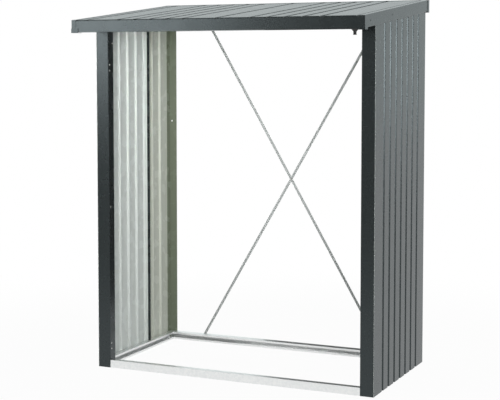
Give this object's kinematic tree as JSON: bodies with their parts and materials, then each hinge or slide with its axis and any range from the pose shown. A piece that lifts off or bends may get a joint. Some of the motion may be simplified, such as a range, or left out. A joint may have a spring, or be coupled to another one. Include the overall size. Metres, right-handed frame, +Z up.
{
  "type": "log store",
  "caption": "Open-fronted sheet-metal log store with grooved side walls, a ribbed pent roof falling to a front gutter, and crossed straps bracing its open back.",
  "frame": {"origin": "on the ground, below the centre of the overall box", "axes": "+Z up, +X to the right as seen from the open front, +Y to the open back"},
  "size_m": [1.57, 1.02, 1.935],
  "materials": {
    "coated_frame": "stoved dark metallic grey coating, satin",
    "coated_cladding": "dark metallic grey coating outside, light grey inside",
    "coated_trim": "stoved dark metallic grey coating, satin",
    "zinc_rail": "bright zinc coating",
    "zinc_strap": "bright zinc coating",
    "black_moulding": "black moulded plastic"
  },
  "bodies": {
    "root": {"drain_spout": "black_moulding", "falling_brace": "zinc_strap", "front_fascia": "coated_trim", "front_floor_rail": "zinc_rail", "front_header": "coated_frame", "front_left_corner_cap": "coated_trim", "front_left_post": "coated_frame", "front_right_corner_cap": "coated_trim", "front_right_post": "coated_frame", "gutter_back_wall": "coated_trim", "gutter_floor": "coated_trim", "left_floor_rail": "zinc_rail", "left_front_wall": "coated_cladding", "left_gutter_end": "coated_trim", "left_rear_wall": "coated_cladding", "left_roof_panel": "coated_cladding", "left_roof_trim": "coated_trim", "left_top_rail": "coated_frame", "rear_floor_rail": "zinc_rail", "rear_left_corner_cap": "coated_trim", "rear_left_post": "coated_frame", "rear_right_corner_cap": "coated_trim", "rear_right_post": "coated_frame", "rear_roof_trim": "coated_trim", "rear_top_rail": "coated_frame", "right_floor_rail": "zinc_rail", "right_front_wall": "coated_cladding", "right_gutter_end": "coated_trim", "right_rear_wall": "coated_cladding", "right_roof_panel": "coated_cladding", "right_roof_trim": "coated_trim", "right_top_rail": "coated_frame", "rising_brace": "zinc_strap"}
  },
  "joints": []
}
